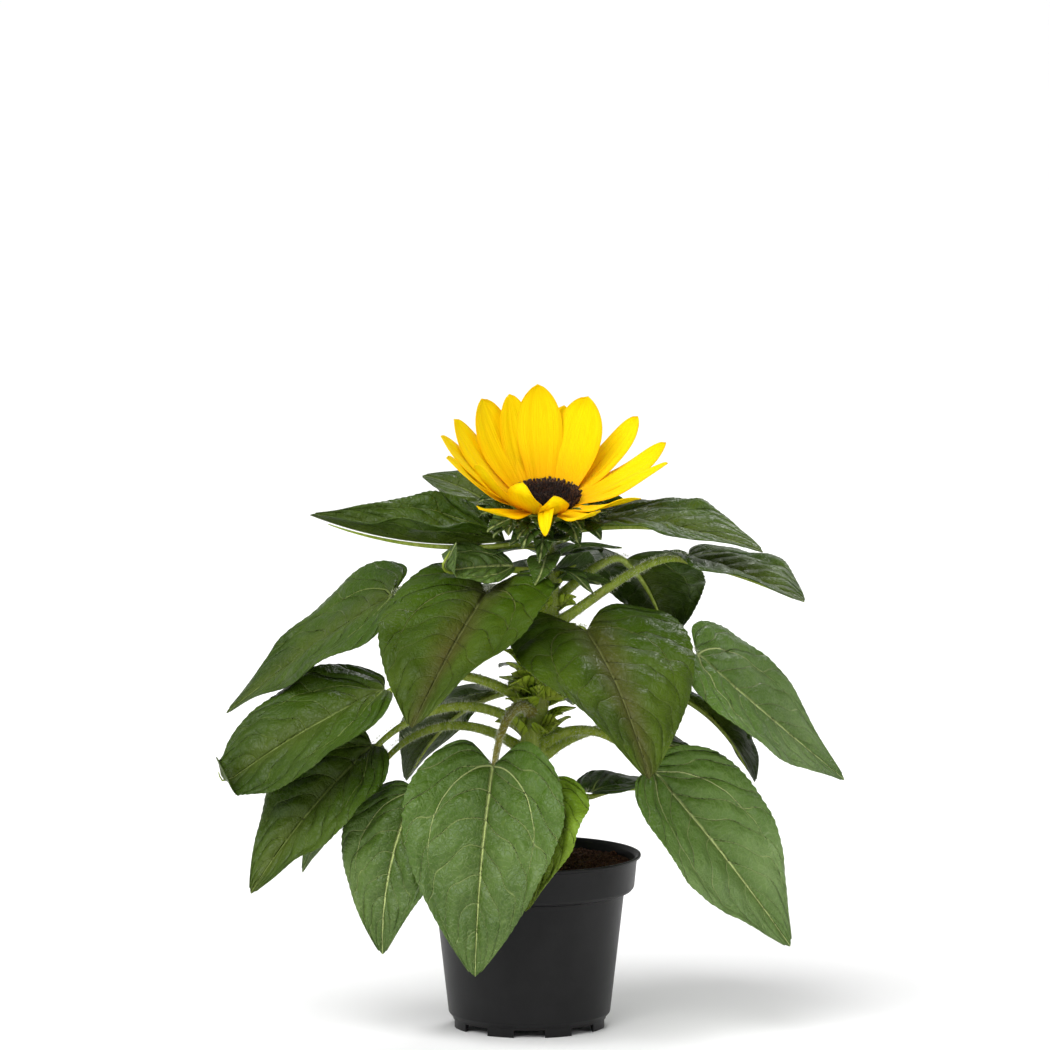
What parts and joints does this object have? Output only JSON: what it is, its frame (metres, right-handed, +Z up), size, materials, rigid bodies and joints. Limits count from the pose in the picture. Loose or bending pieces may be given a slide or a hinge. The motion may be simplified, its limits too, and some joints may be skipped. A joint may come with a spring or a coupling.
{
  "type": "potted dwarf sunflower plant",
  "caption": "Dwarf sunflower in bloom in a round nursery pot: one open flower on a short stem, with heart-shaped leaves on long stalks.",
  "frame": {"origin": "centre of the flat underside of the pot, on the surface that the pot stands on", "axes": "+Z up along the pot's axis; -Y is the plant's front, towards which the flower nods; +X is the plant's right as seen from the front"},
  "size_m": [0.373, 0.2511, 0.3756],
  "materials": {
    "pot": "moulded charcoal-black polypropylene, faintly satin",
    "soil": "damp crumbly peat and coir potting mix",
    "stem": "light green living stem with short stiff hairs",
    "leaf_stalk": "yellow-green ribbed leaf stalk with fine hairs",
    "leaf_blade": "dark green quilted living leaf with paler veins",
    "bracts": "green pointed bracts with fine hairs",
    "disc": "dark brown packed florets",
    "ray_petals": "bright yellow satin petal, deeper orange towards its foot"
  },
  "bodies": {
    "root": {"pot": "pot", "potting_soil": "soil", "stem": "stem", "leaf_front_blade": "leaf_blade", "leaf_front_stalk": "leaf_stalk", "leaf_under_front_blade": "leaf_blade", "leaf_under_front_stalk": "leaf_stalk", "leaf_left_heart_blade": "leaf_blade", "leaf_left_heart_stalk": "leaf_stalk", "leaf_right_heart_blade": "leaf_blade", "leaf_right_heart_stalk": "leaf_stalk", "leaf_low_right_blade": "leaf_blade", "leaf_low_right_stalk": "leaf_stalk", "leaf_low_left_blade": "leaf_blade", "leaf_low_left_stalk": "leaf_stalk", "leaf_right_blade": "leaf_blade", "leaf_right_stalk": "leaf_stalk", "leaf_right_behind_blade": "leaf_blade", "leaf_right_behind_stalk": "leaf_stalk", "leaf_right_shaded_blade": "leaf_blade", "leaf_right_shaded_stalk": "leaf_stalk", "leaf_right_lowest_blade": "leaf_blade", "leaf_right_lowest_stalk": "leaf_stalk", "leaf_left_upper_blade": "leaf_blade", "leaf_left_upper_stalk": "leaf_stalk", "leaf_left_curled_blade": "leaf_blade", "leaf_left_curled_stalk": "leaf_stalk", "leaf_left_low_blade": "leaf_blade", "leaf_left_low_stalk": "leaf_stalk", "leaf_left_lowest_blade": "leaf_blade", "leaf_left_lowest_stalk": "leaf_stalk", "leaf_left_back_blade": "leaf_blade", "leaf_left_back_stalk": "leaf_stalk", "leaf_back_blade": "leaf_blade", "leaf_back_stalk": "leaf_stalk", "leaf_back_left_high_blade": "leaf_blade", "leaf_back_left_high_stalk": "leaf_stalk", "leaf_back_right_high_blade": "leaf_blade", "leaf_back_right_high_stalk": "leaf_stalk", "leaf_upper_right_blade": "leaf_blade", "leaf_upper_right_stalk": "leaf_stalk", "leaf_right_hanging_blade": "leaf_blade", "leaf_right_hanging_stalk": "leaf_stalk", "leaf_neck_left_blade": "leaf_blade", "leaf_top_left_blade": "leaf_blade", "leaf_top_right_blade": "leaf_blade", "leaf_top_back_left_blade": "leaf_blade", "leaf_top_back_right_blade": "leaf_blade", "receptacle": "bracts", "disc_florets": "disc", "ray_petals": "ray_petals"}
  },
  "joints": []
}
